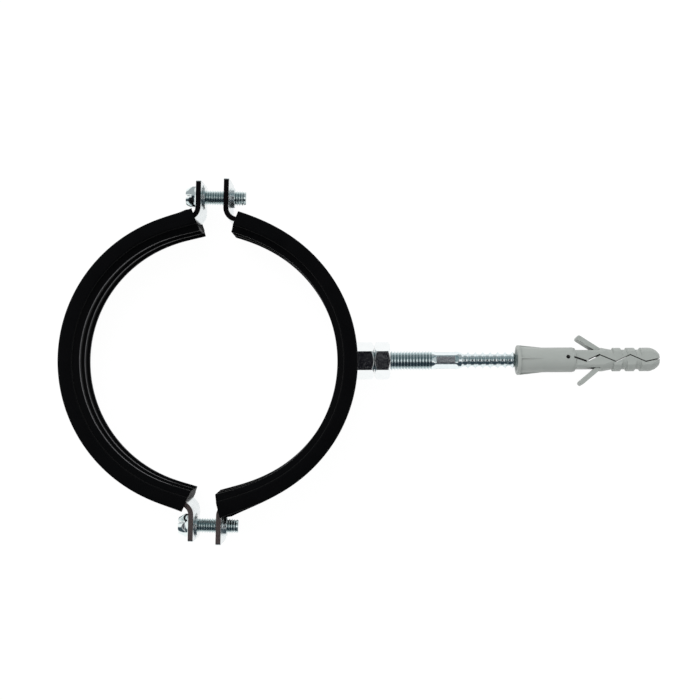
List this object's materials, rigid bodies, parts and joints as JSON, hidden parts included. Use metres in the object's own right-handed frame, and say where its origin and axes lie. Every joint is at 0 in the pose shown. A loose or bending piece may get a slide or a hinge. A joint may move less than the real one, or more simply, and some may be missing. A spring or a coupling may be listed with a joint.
{
  "type": "rubber lined pipe clamp",
  "caption": "Split steel pipe clamp with a ribbed rubber lining, closed by screws through its ears and held to a wall by a hanger bolt in an expansion plug.",
  "frame": {"origin": "centre of the pipe seat: on the pipe's axis, half way across the band", "axes": "+Z along the pipe's axis; +X from that axis along the hanger bolt towards the wall; +Y towards the upper clamp screw"},
  "size_m": [0.2398, 0.1454, 0.025],
  "materials": {
    "zinc_band": "zinc plated strip, satin",
    "rubber_lining": "extruded, matt",
    "zinc_nut": "bright zinc plated",
    "zinc_screw": "bright zinc plated",
    "zinc_washer": "bright zinc plated",
    "zinc_bolt": "bright zinc plated",
    "nylon_plug": "moulded, matt"
  },
  "bodies": {
    "fixed_half": {"fixed_band": "zinc_band", "fixed_lining": "rubber_lining", "weld_nut": "zinc_nut"},
    "free_half": {"free_band": "zinc_band", "free_lining": "rubber_lining"},
    "upper_screw": {"upper_screw": "zinc_screw", "upper_washer": "zinc_washer"},
    "lower_screw": {"lower_screw": "zinc_screw", "lower_washer": "zinc_washer"},
    "hanger_bolt": {"hanger_bolt": "zinc_bolt"},
    "lock_nut": {"lock_nut": "zinc_nut"},
    "wall_plug": {"wall_plug": "nylon_plug"}
  },
  "joints": [
    {"name": "clamp_close", "type": "slide", "parent": "fixed_half", "child": "free_half", "axis": [0.9996, -0.0288, 0], "range_m": [-0.005, 0.0055]},
    {"name": "upper_screw_turn", "type": "hinge", "parent": "free_half", "child": "upper_screw", "pos_m": [0.00191, 0.06617, 0], "axis": [0.9996, -0.0288, 0], "range_deg": [-1810, 1990]},
    {"name": "lower_screw_turn", "type": "hinge", "parent": "free_half", "child": "lower_screw", "pos_m": [-0.00191, -0.06617, 0], "axis": [0.9996, -0.0288, 0], "range_deg": [-1810, 1990]},
    {"name": "bolt_turn", "type": "hinge", "parent": "fixed_half", "child": "hanger_bolt", "pos_m": [0.0985, 0, 0], "axis": [1, 0, 0], "continuous": true},
    {"name": "lock_nut_run", "type": "slide", "parent": "hanger_bolt", "child": "lock_nut", "axis": [1, 0, 0], "range_m": [0, 0.0165]},
    {"name": "plug_draw", "type": "slide", "parent": "hanger_bolt", "child": "wall_plug", "axis": [1, 0, 0], "range_m": [0, 0.016]}
  ],
  "couplings": [
    {"joint": "upper_screw_turn", "follows": "clamp_close", "rad_per_m": 6283.2},
    {"joint": "lower_screw_turn", "follows": "clamp_close", "rad_per_m": 6283.2}
  ]
}
